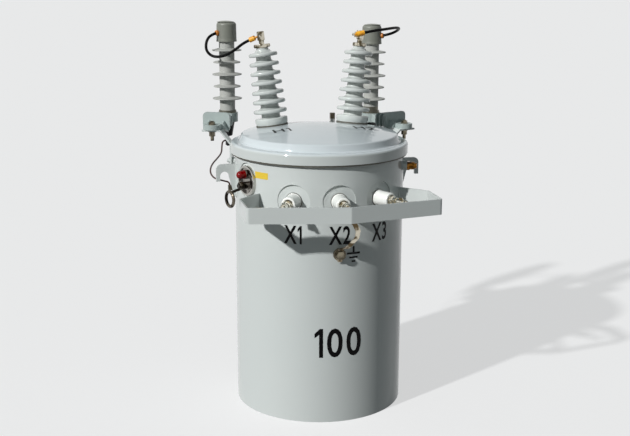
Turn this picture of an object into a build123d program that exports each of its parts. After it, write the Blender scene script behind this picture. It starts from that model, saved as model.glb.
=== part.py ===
from build123d import *
import math
import os

# Single-phase pole mounted distribution transformer with two high-voltage bushings, two surge
# arresters, three low-voltage bushings behind a bar guard, and a breaker operated by a ring handle.
# Millimetres. +Z is up, -Y is the front with the low-voltage bushings, +Y is the pole side.
# The origin is on the tank's axis, on the level that its bottom edge stands on.

# Tank
tank_radius = 305.0
tank_wall_thickness = 3.0
tank_rim_height = 948.0
rim_bead_radius = 4.0
rim_bead_drop = 12.0
bottom_plate_height = 22.0
bottom_plate_thickness = 5.0
foot_skirt_thickness = 4.0
seat_clearance = 0.2

# Lid
lid_sheet = 3.0
lid_skirt_radius = 319.6
lid_skirt_bottom = tank_rim_height - 24.0
lid_ledge_height = tank_rim_height + 14.0
lid_shoulder_radius = 10.0
lid_rise_foot_radius = 289.0
lid_rise_top_radius = 281.0
lid_rise_fillet = 8.0
lid_dome_radius = 1390.0
lid_dome_apex = tank_rim_height + 69.0

# Rubber gasket between the tank's rim and the lid
gasket_inner_radius = 297.0
gasket_leg_bottom = tank_rim_height - 29.5

# Low-voltage bushings on flat discs pressed into the wall
lv_angles = (-30.0, 0.0, 30.0)
lv_height = tank_rim_height - 151.5
lv_disc_diameter = 116.0
lv_disc_face = 297.5
lv_hole_diameter = 44.0
lv_shank_diameter = 43.0
lv_shank_length = 40.0
lv_flange_diameter = 56.0
lv_flange_thickness = 7.0
lv_flange_edge = 3.0
lv_porcelain_base_diameter = 52.5
lv_porcelain_tip_diameter = 50.0
lv_porcelain_length = 55.0
lv_porcelain_edge = 4.0
lv_mouth_diameter = 36.0
lv_mouth_depth = 14.0
lv_collar_width = 28.0
lv_collar_end = 9.0
lv_sleeve_diameter = 25.0
lv_sleeve_end = 26.0
lv_stud_diameter = 12.0
lv_stud_end = 82.0
lv_barrel_diameter = 22.0
lv_barrel_start = 31.0
lv_barrel_length = 26.0
lv_screw_diameter = 8.0
lv_screw_reach = 20.0
lv_screw_head = 13.0
lv_screw_head_thickness = 5.0
lv_nut_width = 17.0
lv_nut_start = 61.0
lv_nut_thickness = 8.0

# Guard bar in front of the low-voltage bushings
guard_bottom = lv_height - 39.0
guard_bar_height = 54.0
guard_bar_thickness = 6.0
guard_weld_x = 252.5
guard_corner_x = 332.0
guard_corner_y = -252.0
guard_front_y = -394.0
guard_nose_y = -460.0
guard_bend_radius = 9.0

# High-voltage bushings on the lid
hv_angles = {"left": -126.8, "right": 126.8}
hv_seat_radius = 189.0
hv_gasket_diameter = 117.0
hv_gasket_thickness = 3.0
hv_gasket_depth = 6.0
hv_hole_diameter = 66.0
hv_shank_diameter = 65.0
hv_shank_length = 110.0
hv_flange_diameter = 118.0
hv_flange_height = 26.0
hv_flange_edge = 5.0
hv_core_bottom_diameter = 69.0
hv_core_top_diameter = 53.0
hv_shed_count = 7
hv_shed_pitch = 34.2
hv_shed_first = 50.0
hv_shed_bottom_diameter = 123.0
hv_shed_top_diameter = 105.0
hv_shed_rim_radius = 5.5
hv_shed_slope = 7.0
hv_head_diameter = 44.0
hv_head_height = 281.0
hv_head_ring = 10.0
hv_head_edge = 3.0
hv_cap_diameter = 50.0
hv_cap_height = 12.0
hv_cap_edge = 2.0
hv_cap_bolt_turns = {"left": (-35.0, 145.0), "right": (-75.0, 105.0)}
hv_cap_bolt_reach = 24.0
hv_cap_bolt_head = 11.0
hv_cap_bolt_length = 7.0
hv_stud_diameter = 19.0
hv_stud_length = 13.0
hv_connector_diameter = 27.0
hv_connector_height = 33.0
hv_connector_edge = 3.0
hv_connector_bolt_turns = {"left": 23.5, "right": 39.9}
hv_connector_bolt_diameter = 10.0
hv_connector_bolt_length = 16.0
hv_connector_nut = 17.0
hv_connector_nut_thickness = 8.0

# Surge arresters on moulded brackets
arrester_x = 284.5
arrester_y = 324.0
arrester_side_drop = {"left": 0.0, "right": 16.0}
arrester_seat_height = tank_rim_height + 80.0
arrester_body_diameter = 58.0
arrester_foot_diameter = 66.0
arrester_foot_height = 9.0
arrester_shed_count = 5
arrester_shed_pitch = 45.5
arrester_shed_first = 54.0
arrester_shed_large_diameter = 112.0
arrester_shed_small_diameter = 103.0
arrester_shed_rim_radius = 2.2
arrester_shed_slope = 5.0
arrester_body_height = 268.0
arrester_cap_skirt_diameter = 77.0
arrester_cap_diameter = 75.5
arrester_cap_top_diameter = 73.5
arrester_cap_height = 73.0
arrester_cap_corner = 12.0
arrester_cap_skirt = 5.0
arrester_boot_diameter = 17.0

# Moulded bracket between the strap and the arrester
strap_angle = 112.0
strap_bolt_reach = 397.5
strap_bolt_x = strap_bolt_reach * math.sin(math.radians(strap_angle))
strap_bolt_y = -strap_bolt_reach * math.cos(math.radians(strap_angle))
tongue_bottom = tank_rim_height + 41.0
tongue_thickness = 18.0
tongue_width = 60.0
tongue_hole_diameter = 14.0
neck_start = 22.0
neck_top = 28.0
neck_top_width = 62.0
neck_foot_width = 96.0
neck_pocket_width = 48.0
bracket_wall_distance = 50.0
bracket_wall_thickness = 9.0
bracket_wall_width = 103.0
bracket_wall_top = 57.0
bracket_wall_bottom = -14.0
bracket_wall_corner = 16.0
bracket_fin_count = 3
bracket_fin_spacing = 20.0
bracket_fin_thickness = 7.0
bracket_fin_width = 84.0
bracket_fin_height = 50.0
bracket_arm_width = 46.0
bracket_arm_height = 30.0
bracket_holder_diameter = 78.0
bracket_holder_height = 34.0

# Steel straps that carry the brackets
strap_width = 40.0
strap_thickness = 6.0
strap_inner_radius = 322.0
strap_foot_bottom = tank_rim_height - 90.0
strap_bend_height = tank_rim_height - 7.0
strap_level_inwards = 35.5
strap_level_outwards = 34.0
strap_top_radius = strap_bolt_reach - strap_level_inwards
strap_end_radius = strap_bolt_reach + strap_level_outwards
strap_boss_diameter = 26.0
strap_boss_height = strap_foot_bottom + 18.0
strap_foot_bolt_diameter = 12.0
strap_foot_bolt_length = 14.0
strap_foot_bolt_head = 19.0
strap_foot_bolt_head_thickness = 8.0
strap_bolt_diameter = 13.0
strap_bolt_head = 20.0
strap_bolt_head_thickness = 8.0
strap_bolt_nut_thickness = 16.0
strap_bolt_washer_diameter = 28.0
strap_bolt_washer_thickness = 2.5
strap_bolt_tail = 35.0

# Ground lead disconnectors under the arresters
disconnector_top_diameter = 54.0
disconnector_bottom_diameter = 34.0
disconnector_height = 56.0
disconnector_stud_diameter = 10.0
disconnector_stud_length = 39.0
disconnector_nut = 17.0
disconnector_nut_thickness = 16.0
disconnector_nut_drop = 20.0
disconnector_edge = 5.0

# High-voltage leads from the bushings to the arresters, with heights above the tank's rim
lead_diameter = 10.5
lead_sleeve_diameter = 19.0
lead_sleeve_lengths = {"left": 21.0, "right": 31.0}
lead_tongue_diameter = 8.0
lead_tongue_lengths = {"left": 8.2, "right": 5.2}
lead_points = {
    "left": [
        (-326.0, 307.0, 380.0),
        (-347.0, 298.0, 375.0),
        (-366.0, 289.5, 353.0),
        (-369.0, 281.0, 318.0),
        (-346.0, 266.0, 295.0),
        (-307.0, 238.0, 299.0),
        (-270.0, 200.0, 326.0),
        (-246.0, 169.5, 352.0),
        (-224.0, 157.5, 363.0),
    ],
    "right": [
        (196.0, 114.5, 388.0),
        (231.5, 110.0, 395.0),
        (279.0, 125.0, 399.0),
        (320.0, 155.0, 402.0),
        (351.0, 193.0, 400.0),
        (366.0, 232.0, 393.0),
        (364.0, 266.0, 382.0),
        (347.0, 288.0, 371.0),
        (324.0, 302.0, 365.0),
    ],
}

# Ground wire from the left disconnector to the left lifting lug, with heights above the tank's rim
ground_wire_diameter = 6.0
ground_wire_points = [
    (-288.7, 320.8, -26.5),
    (-308.0, 306.0, -26.0),
    (-315.0, 281.0, -43.0),
    (-320.5, 250.0, -63.0),
    (-341.0, 208.0, -75.0),
    (-366.0, 166.0, -87.0),
    (-381.0, 124.0, -98.0),
    (-386.0, 86.0, -110.0),
    (-380.0, 53.0, -119.0),
    (-368.0, 25.0, -122.0),
    (-356.0, 12.0, -122.5),
    (-344.0, 11.0, -126.0),
    (-329.0, 11.0, -129.8),
    (-327.0, 11.0, -139.8),
]
wire_clamp_low = (-333.0, 5.0, -160.0)
wire_clamp_high = (-311.0, 17.0, -140.0)
wire_clamp_edge = 3.0
wire_clamp_screw_head = 13.0
wire_clamp_screw_length = 8.0

# Lifting lugs
lug_thickness = 10.0
lug_reach = 377.0
lug_top = tank_rim_height - 62.0
lug_corner_radius = 18.0
lug_finger_width = 14.0
lug_finger_tip = lug_top - 62.0
lug_arch_radius = 15.5
lug_arch_top = lug_top - 27.0
lug_leg_bottom = lug_top - 120.0
lug_leg_reach = 312.0

# Pressure relief valve
valve_angle = 69.8
valve_height = tank_rim_height - 72.0
valve_coupling_diameter = 34.0
valve_coupling_end = 319.0
valve_body_diameter = 28.0
valve_body_end = 346.0
valve_hex_width = 30.0
valve_hex_length = 9.0
valve_cap_diameter = 20.0
valve_cap_end = 354.0

# Breaker fitting with its lamp and its ring handle
breaker_angle = -69.0
breaker_height = tank_rim_height - 103.0
breaker_disc_diameter = 124.0
breaker_disc_face = 299.0
breaker_hole_diameter = 70.0
breaker_plate_diameter = 106.0
breaker_plate_thickness = 12.0
breaker_plate_edge = 2.5
breaker_plate_rim = 7.0
breaker_plate_recess = 4.0
breaker_hub_diameter = 64.0
breaker_back_length = 30.0
lamp_offset = (8.0, 24.0)
lamp_bezel_diameter = 32.0
lamp_bezel_thickness = 10.0
lamp_lens_diameter = 28.0
lamp_lens_length = 29.0
handle_offset = (9.0, -14.0)
handle_shaft_diameter = 14.0
handle_running_clearance = 0.08
handle_hub_diameter = 26.0
handle_hub_length = 20.0
handle_hub_gap = 11.0
handle_cap_diameter = 17.0
handle_cap_thickness = 3.0
handle_wire_diameter = 8.5
handle_ring_radius = 27.5
handle_ring_drop = 48.0
handle_ring_stand = 38.0
handle_lean = -18.0

# Ground connection on the tank's front, and the strap down to it from the middle terminal
ground_bolt_height = lv_height - 182.5
ground_pad_diameter = 44.0
ground_pad_face = 312.0
ground_bolt_diameter = 12.0
ground_bolt_hex = 27.0
ground_bolt_hex_thickness = 11.0
ground_bolt_washer_diameter = 34.0
ground_bolt_washer_thickness = 3.0
ground_strap_width = 16.0
ground_strap_thickness = 2.5
ground_strap_bend_radius = 7.0
# Places along the strap: how far to the right or to the front, and the share of the way up
ground_strap_front = [(0.0, 0.88), (27.0, 0.70), (42.0, 0.55), (42.0, 0.405), (24.0, 0.225), (0.0, 0.09)]
ground_strap_side = [(-405.0, 0.77), (-394.0, 0.58), (-374.0, 0.385), (-342.0, 0.153)]
ground_strap_tail = 24.0

# Hangers that bolt the tank to a pole
hanger_spacing = 590.5
hanger_lower_height = 190.0
hanger_face_y = 372.0
hanger_plate_width = 150.0
hanger_plate_height = 130.0
hanger_plate_thickness = 8.0
hanger_web_spacing = 104.0
hanger_slot_width = 24.0
hanger_slot_length = 44.0

# Bolt that clamps the lid at the back
lid_clamp_angle = 158.0
lid_clamp_width = 30.0
lid_clamp_thickness = 6.0
lid_clamp_tab_height = 40.0
lid_clamp_bolt_diameter = 12.0
lid_clamp_sleeve_diameter = 21.0
lid_clamp_sleeve_height = 26.0
lid_clamp_bolt_top = tank_rim_height + 69.0

PARTS_FOLDER = "parts"
os.makedirs(PARTS_FOLDER, exist_ok=True)


def polar(angle, radius, height=0.0):
    """A point at an angle from the front (-Y), positive towards +X."""
    turn = math.radians(angle)
    return (radius * math.sin(turn), -radius * math.cos(turn), height)


def wall_plane(angle, radius, height):
    """Plane facing outwards from the tank: local x to the right, y up, z out."""
    turn = math.radians(angle)
    return Plane(
        origin=polar(angle, radius, height),
        x_dir=(math.cos(turn), math.sin(turn), 0),
        z_dir=(math.sin(turn), -math.cos(turn), 0),
    )


def rod(diameter, start, end):
    """A cylinder along local z from start to end."""
    return Pos(0, 0, start) * Cylinder(
        diameter / 2, end - start, align=(Align.CENTER, Align.CENTER, Align.MIN)
    )


def cone(bottom_diameter, top_diameter, start, end):
    return Pos(0, 0, start) * Cone(
        bottom_diameter / 2, top_diameter / 2, end - start,
        align=(Align.CENTER, Align.CENTER, Align.MIN),
    )


def hexagon(across_flats, start, end):
    outline = RegularPolygon(across_flats / 2, 6, major_radius=False)
    return Pos(0, 0, start) * extrude(outline, end - start)


def block(low, high):
    """A box between two corners."""
    size = [high[i] - low[i] for i in range(3)]
    return Pos(*low) * Box(*size, align=(Align.MIN, Align.MIN, Align.MIN))


def turned(points):
    """A solid of revolution about local z, from a closed outline of (radius, height) points."""
    outline = Plane.XZ * make_face(Polyline(*points, close=True))
    return revolve(outline, Axis.Z)


def save(name, part):
    part.label = name
    export_step(part, os.path.join(PARTS_FOLDER, name + ".step"))
    return part


def shed_column(start, end, bottom_core, top_core, sheds, rim, slope):
    """Insulator body: a tapered core with round-edged sheds that slope down to their rims.

    sheds is a list of (height, diameter) from the bottom one up.
    """
    def core_radius(height):
        share = (height - start) / (end - start)
        return (bottom_core + (top_core - bottom_core) * share) / 2

    edges = []
    last = (0.0, start)
    here = (core_radius(start), start)
    edges.append(Line(last, here))
    for height, diameter in sheds:
        rim_centre = diameter / 2 - rim
        under = (core_radius(height - rim), height - rim)
        rim_low = (rim_centre, height - rim)
        rim_side = (diameter / 2, height)
        rim_high = (rim_centre, height + rim)
        over = (core_radius(height + rim + slope), height + rim + slope)
        edges.append(Line(here, under))
        edges.append(Line(under, rim_low))
        edges.append(ThreePointArc(rim_low, rim_side, rim_high))
        edges.append(Line(rim_high, over))
        here = over
    top = (core_radius(end), end)
    edges.append(Line(here, top))
    edges.append(Line(top, (0.0, end)))
    edges.append(Line((0.0, end), (0.0, start)))
    outline = make_face(Plane.XZ * Curve(edges))
    return revolve(outline, Axis.Z)


def cord_tube(name, points, diameter):
    """A tube along straight runs joined by the largest tangent arcs that the runs allow."""
    corners = points
    runs = [corners[i + 1] - corners[i] for i in range(len(corners) - 1)]
    radii = []
    for i in range(len(runs) - 1):
        turn = math.radians(runs[i].get_angle(runs[i + 1]))
        radii.append(0.45 * min(runs[i].length, runs[i + 1].length) / math.tan(turn / 2))
    path = FilletPolyline(*corners, radius=radii)
    start = Plane(origin=path @ 0, z_dir=path % 0)
    tube = sweep(start * Circle(diameter / 2), path=path)
    expected = math.pi * diameter ** 2 / 4 * path.length
    print(name, "length", round(path.length, 1), "runs", [round(r.length, 1) for r in runs])
    print(name, "radii in diameters", [round(r / diameter, 1) for r in radii])
    print(name, "volume over section times length", round(tube.volume / expected, 5))
    return tube


def tank_solids():
    """Shell with flat discs pressed in for the low-voltage bushings and the breaker, and its pan."""
    inner = tank_radius - tank_wall_thickness
    shell = turned([
        (inner, 0), (tank_radius, 0),
        (tank_radius, tank_rim_height - rim_bead_drop),
        (tank_radius + rim_bead_radius, tank_rim_height - rim_bead_drop + rim_bead_radius),
        (tank_radius + rim_bead_radius, tank_rim_height - rim_bead_radius),
        (tank_radius, tank_rim_height),
        (inner, tank_rim_height),
    ])
    full = rod(2 * tank_radius, 0, tank_rim_height)
    discs = [(angle, lv_height, lv_disc_diameter, lv_disc_face, lv_hole_diameter) for angle in lv_angles]
    discs.append((breaker_angle, breaker_height, breaker_disc_diameter, breaker_disc_face,
                  breaker_hole_diameter))
    for angle, height, diameter, face, hole in discs:
        place = wall_plane(angle, face, height)
        cup = place.location * rod(diameter + 2 * tank_wall_thickness, -tank_wall_thickness, diameter)
        dish = place.location * rod(diameter, 0, diameter)
        shell = shell + (cup & full) - dish
        shell = shell - place.location * rod(hole, -diameter, face)
    pan_radius = inner - seat_clearance
    skirt = pan_radius - foot_skirt_thickness
    pan = turned([
        (0, bottom_plate_height), (skirt, bottom_plate_height), (skirt, 0), (pan_radius, 0),
        (pan_radius, bottom_plate_height + bottom_plate_thickness),
        (0, bottom_plate_height + bottom_plate_thickness),
    ])
    save("tank_wall", shell)
    save("tank_bottom", pan)


def dome_height(radius, sphere):
    return lid_dome_apex - lid_dome_radius + math.sqrt(sphere ** 2 - radius ** 2)


def lid_outline(inset):
    """Half section of the lid's top surface, moved inwards by inset, as edges from skirt to apex."""
    skirt = lid_skirt_radius - inset
    ledge = lid_ledge_height - inset
    shoulder = lid_shoulder_radius - inset
    sphere = lid_dome_radius - inset
    foot = lid_rise_foot_radius - inset
    crease = lid_rise_top_radius - inset
    crease_height = dome_height(crease, sphere)
    corner = 0.7071 * shoulder
    shoulder_middle = (skirt - shoulder + corner, ledge - shoulder + corner)
    dome_middle = (crease / 2, dome_height(crease / 2, sphere))
    return [
        Line((skirt, lid_skirt_bottom), (skirt, ledge - shoulder)),
        ThreePointArc((skirt, ledge - shoulder), shoulder_middle, (skirt - shoulder, ledge)),
        Line((skirt - shoulder, ledge), (foot, ledge)),
        Line((foot, ledge), (crease, crease_height)),
        ThreePointArc((crease, crease_height), dome_middle, (0, dome_height(0, sphere))),
    ]


def hv_plane(side, lift=0.0):
    """Plane on the dome where a high-voltage bushing stands, z along the bushing."""
    angle = hv_angles[side]
    tilt = math.asin(hv_seat_radius / lid_dome_radius)
    out = polar(angle, math.sin(tilt))
    axis = Vector(out[0], out[1], math.cos(tilt))
    turn = math.radians(angle)
    centre = Vector(*polar(angle, hv_seat_radius, dome_height(hv_seat_radius, lid_dome_radius)))
    return Plane(origin=centre + axis * lift, x_dir=(math.cos(turn), math.sin(turn), 0), z_dir=axis)


def lid_solids():
    """Pressed lid, the rubber gasket on the tank's rim, and the clamp bolt at the back."""
    outer = lid_outline(0.0)
    inner = lid_outline(lid_sheet)
    bottom = Line((lid_skirt_radius, lid_skirt_bottom), (lid_skirt_radius - lid_sheet, lid_skirt_bottom))
    centre = Line((0, lid_dome_apex), (0, lid_dome_apex - lid_sheet))
    lid = revolve(make_face(Plane.XZ * Curve(outer + inner + [bottom, centre])), Axis.Z)
    for side in hv_angles:
        lid = lid - hv_plane(side).location * rod(hv_hole_diameter, -hv_shank_length, hv_shank_length)
    rise = [e for e in lid.edges().filter_by(GeomType.CIRCLE)
            if abs(e.radius - lid_rise_top_radius) < 0.1 or abs(e.radius - lid_rise_foot_radius) < 0.1]
    lid = fillet(rise, lid_rise_fillet)
    save("lid", lid)

    leg_outer = lid_skirt_radius - lid_sheet - seat_clearance
    leg_inner = tank_radius + rim_bead_radius + seat_clearance
    top = lid_ledge_height - lid_sheet
    gasket = turned([
        (gasket_inner_radius, tank_rim_height), (leg_inner, tank_rim_height),
        (leg_inner, gasket_leg_bottom), (leg_outer, gasket_leg_bottom),
        (leg_outer, top - lid_shoulder_radius + lid_sheet),
        (leg_outer - lid_shoulder_radius + lid_sheet, top), (gasket_inner_radius, top),
    ])
    save("lid_gasket", gasket)

    wall = wall_plane(lid_clamp_angle, tank_radius, 0)
    tab_reach = lid_skirt_radius + lid_clamp_sleeve_diameter / 2 + 8
    bolt_out = lid_skirt_radius + 4 + lid_clamp_sleeve_diameter / 2 - tank_radius
    tab_top = lid_skirt_bottom - 14
    tab = block((-lid_clamp_width / 2, tab_top - lid_clamp_tab_height, 0.3),
                (lid_clamp_width / 2, tab_top, lid_clamp_thickness))
    shelf = block((-lid_clamp_width / 2, tab_top - lid_clamp_thickness, 0.3),
                  (lid_clamp_width / 2, tab_top, tab_reach - tank_radius + 8))
    column = Plane(origin=(0, tab_top - lid_clamp_thickness, bolt_out), x_dir=(1, 0, 0), z_dir=(0, 1, 0))
    shank = column.location * rod(lid_clamp_bolt_diameter, 0, lid_clamp_bolt_top - tab_top
                                  + lid_clamp_thickness - 8)
    sleeve_start = lid_ledge_height - tab_top + lid_clamp_thickness + lid_clamp_thickness
    sleeve = column.location * rod(lid_clamp_sleeve_diameter, sleeve_start,
                                   sleeve_start + lid_clamp_sleeve_height)
    head = column.location * hexagon(lid_clamp_sleeve_diameter - 3, sleeve_start + lid_clamp_sleeve_height,
                                     lid_clamp_bolt_top - tab_top + lid_clamp_thickness)
    finger = block((-lid_clamp_width / 2, lid_ledge_height + seat_clearance, -8),
                   (lid_clamp_width / 2, lid_ledge_height + lid_clamp_thickness,
                    bolt_out + lid_clamp_sleeve_diameter / 2))
    save("lid_clamp_bolt", wall.location * (tab + shelf + shank + sleeve + head + finger))


def hv_solids():
    """High-voltage bushings with their gaskets and terminals."""
    for side in hv_angles:
        seat = hv_plane(side)
        ring = rod(hv_gasket_diameter, -hv_gasket_depth, hv_gasket_thickness)
        ring = ring - rod(hv_hole_diameter, -hv_shank_length, hv_shank_length)
        under = Pos(0, 0, lid_dome_apex - lid_dome_radius) * Sphere(lid_dome_radius + seat_clearance)
        gasket = seat.location * ring - under
        save("hv_gasket_" + side, gasket)

        foot = hv_plane(side, hv_gasket_thickness)
        flange_top = hv_flange_height
        flange = rod(hv_flange_diameter, 0, flange_top)
        flange = fillet(flange.edges().group_by(Axis.Z)[-1], hv_flange_edge)
        sheds = []
        for i in range(hv_shed_count):
            share = i / (hv_shed_count - 1)
            diameter = hv_shed_bottom_diameter + (hv_shed_top_diameter - hv_shed_bottom_diameter) * share
            sheds.append((hv_shed_first + i * hv_shed_pitch, diameter))
        body = shed_column(flange_top, hv_head_height - hv_head_ring, hv_core_bottom_diameter,
                           hv_core_top_diameter, sheds, hv_shed_rim_radius, hv_shed_slope)
        head = rod(hv_head_diameter, hv_head_height - hv_head_ring, hv_head_height)
        head = fillet(head.edges().group_by(Axis.Z)[-1], hv_head_edge)
        shank = rod(hv_shank_diameter, -hv_shank_length, 0)
        save("hv_bushing_" + side, foot.location * (shank + flange + body + head))

        top = hv_head_height
        cap_top = top + hv_cap_height
        cap = rod(hv_cap_diameter, top, cap_top)
        cap = fillet(cap.edges().group_by(Axis.Z)[-1], hv_cap_edge)
        for angle in hv_cap_bolt_turns[side]:
            around = math.radians(angle)
            side_plane = Plane(origin=(0, 0, top + hv_cap_height / 2), x_dir=(0, 0, 1),
                               z_dir=(math.cos(around), math.sin(around), 0))
            cap = cap + side_plane.location * hexagon(
                hv_cap_bolt_head, hv_cap_bolt_reach, hv_cap_bolt_reach + hv_cap_bolt_length)
        connector_low = cap_top + hv_stud_length
        terminal = cap + rod(hv_stud_diameter, cap_top, connector_low)
        connector = rod(hv_connector_diameter, connector_low, connector_low + hv_connector_height)
        connector = fillet(connector.edges().filter_by(GeomType.CIRCLE), hv_connector_edge)
        turn = math.radians(hv_connector_bolt_turns[side])
        across = Plane(origin=(0, 0, connector_low + hv_connector_height / 2), x_dir=(0, 0, 1),
                       z_dir=(math.cos(turn), math.sin(turn), 0))
        reach = hv_connector_diameter / 2
        bolt = rod(hv_connector_bolt_diameter, 0, reach + hv_connector_bolt_length)
        nut = hexagon(hv_connector_nut, reach, reach + hv_connector_nut_thickness)
        save("hv_terminal_" + side, foot.location * (terminal + connector + across.location * (bolt + nut)))


def over_rim(points):
    """Places whose heights are given above the tank's rim, in the part's own heights."""
    return [Vector(x, y, tank_rim_height + z) for x, y, z in points]


def lead_end(side, at_bushing):
    """End point of a lead, and the direction in which the lead runs out through that end."""
    points = over_rim(lead_points[side])
    if at_bushing == (side == "right"):
        points.reverse()
    return points[-1], (points[-1] - points[-2]).normalized()


def lead_solids():
    """Covered leads from the bushings to the arresters, with a sleeve at the bushing's connector."""
    for side, points in lead_points.items():
        save("hv_lead_" + side, cord_tube("hv_lead_" + side, over_rim(points), lead_diameter))
        end, outwards = lead_end(side, at_bushing=True)
        sleeve = rod(lead_sleeve_diameter, seat_clearance, lead_sleeve_lengths[side])
        tongue = rod(lead_tongue_diameter, lead_sleeve_lengths[side],
                     lead_sleeve_lengths[side] + lead_tongue_lengths[side])
        save("hv_lead_end_" + side, Plane(origin=end, z_dir=outwards).location * (sleeve + tongue))


def arrester_frame(side):
    """Plane on the strap bolt: x to the arrester along the bracket, z up."""
    sign = -1 if side == "left" else 1
    drop = arrester_side_drop[side]
    bolt = Vector(sign * strap_bolt_x, strap_bolt_y, tongue_bottom - drop)
    axis = Vector(sign * arrester_x, arrester_y, tongue_bottom - drop)
    return Plane(origin=bolt, x_dir=axis - bolt, z_dir=(0, 0, 1)), (axis - bolt).length


def arrester_solids():
    """Arresters, their caps, brackets, straps, bolts and ground lead disconnectors."""
    for side in arrester_side_drop:
        sign = -1 if side == "left" else 1
        drop = arrester_side_drop[side]
        frame, reach = arrester_frame(side)
        seat = arrester_seat_height - drop
        axis = Pos(sign * arrester_x, arrester_y, seat)

        sheds = []
        for i in range(arrester_shed_count):
            wide = i % 2 == 0
            diameter = arrester_shed_large_diameter if wide else arrester_shed_small_diameter
            sheds.append((arrester_shed_first + i * arrester_shed_pitch, diameter))
        foot = rod(arrester_foot_diameter, 0, arrester_foot_height)
        body = shed_column(arrester_foot_height, arrester_body_height, arrester_body_diameter,
                           arrester_body_diameter, sheds, arrester_shed_rim_radius, arrester_shed_slope)
        save("arrester_" + side, axis * (foot + body))

        low = arrester_body_height + seat_clearance
        cap_top = low + arrester_cap_height
        cap = turned([
            (0, low), (arrester_cap_skirt_diameter / 2, low),
            (arrester_cap_skirt_diameter / 2, low + arrester_cap_skirt),
            (arrester_cap_diameter / 2, low + 2 * arrester_cap_skirt),
            (arrester_cap_top_diameter / 2, cap_top), (0, cap_top),
        ])
        cap = fillet(cap.edges().group_by(Axis.Z)[-1], arrester_cap_corner)
        mouth, inwards = lead_end(side, at_bushing=False)
        to_axis = Vector(sign * arrester_x, arrester_y, mouth.Z) - mouth
        boot = Plane(origin=mouth, z_dir=inwards).location * rod(
            arrester_boot_diameter, seat_clearance, to_axis.length)
        save("arrester_cap_" + side, axis * cap + boot)

        bracket = bracket_solid(reach)
        save("arrester_bracket_" + side, frame.location * bracket)
        save("arrester_strap_" + side, strap_solid(sign, drop))
        save("strap_bolt_" + side, frame.location * strap_bolt_solid())

        under = seat - bracket_holder_height - seat_clearance
        place = Pos(sign * arrester_x, arrester_y, under)
        bell = cone(disconnector_bottom_diameter, disconnector_top_diameter, -disconnector_height, 0)
        bell = fillet(bell.edges().group_by(Axis.Z)[0], disconnector_edge)
        stud_end = -disconnector_height - disconnector_stud_length
        stud = rod(disconnector_stud_diameter, stud_end, -disconnector_height)
        nut_top = -disconnector_height - disconnector_nut_drop
        nut = hexagon(disconnector_nut, nut_top - disconnector_nut_thickness, nut_top)
        save("disconnector_" + side, place * (bell + stud + nut))


def bracket_solid(reach):
    """Moulded bracket: bolted tongue on a ribbed neck, an end wall, fins, an arm and a holder."""
    top = tongue_thickness
    end_radius = tongue_width / 2
    tongue = block((0, -end_radius, 0), (bracket_wall_distance + 1, end_radius, top))
    tongue = tongue + rod(tongue_width, 0, top)
    tongue = tongue - rod(tongue_hole_diameter, -1, top + 1)
    wall_back = bracket_wall_distance + bracket_wall_thickness
    wall_height = bracket_wall_top - bracket_wall_bottom
    wall_middle = (bracket_wall_top + bracket_wall_bottom) / 2
    profile = Plane.YZ * RectangleRounded(bracket_wall_width, wall_height, bracket_wall_corner)
    wall = Pos(bracket_wall_distance, 0, wall_middle) * extrude(profile, bracket_wall_thickness)
    neck_end = bracket_wall_distance + 1
    neck_side = make_face(Plane.XZ * Polyline(
        (neck_start, 0), (neck_end, bracket_wall_bottom), (neck_end, neck_top), (neck_start, top),
        close=True))
    neck_front = make_face(Plane.YZ * Polyline(
        (-neck_foot_width / 2, bracket_wall_bottom), (neck_foot_width / 2, bracket_wall_bottom),
        (neck_top_width / 2, neck_top), (-neck_top_width / 2, neck_top), close=True))
    neck = extrude(neck_side, bracket_wall_width, both=True) & extrude(neck_front, neck_end)
    pocket = block((neck_start - 1, -neck_pocket_width / 2, top),
                   (bracket_wall_distance, neck_pocket_width / 2, neck_top + 1))
    neck = neck - pocket
    holder_bottom = arrester_seat_height - tongue_bottom - bracket_holder_height
    arm_low = holder_bottom + 2
    arm = block((wall_back - 1, -bracket_arm_width / 2, arm_low),
                (reach, bracket_arm_width / 2, arm_low + bracket_arm_height))
    part = tongue + wall + neck + arm
    for i in range(bracket_fin_count):
        start = wall_back + (i + 1) * bracket_fin_spacing - bracket_fin_thickness
        fin_face = Plane.YZ * RectangleRounded(bracket_fin_width, bracket_fin_height, bracket_wall_corner * 0.7)
        fin = Pos(start, 0, arm_low + bracket_arm_height / 2) * extrude(fin_face, bracket_fin_thickness)
        part = part + fin
    holder = Pos(reach, 0, 0) * rod(bracket_holder_diameter, holder_bottom,
                                     holder_bottom + bracket_holder_height)
    return part + holder


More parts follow.
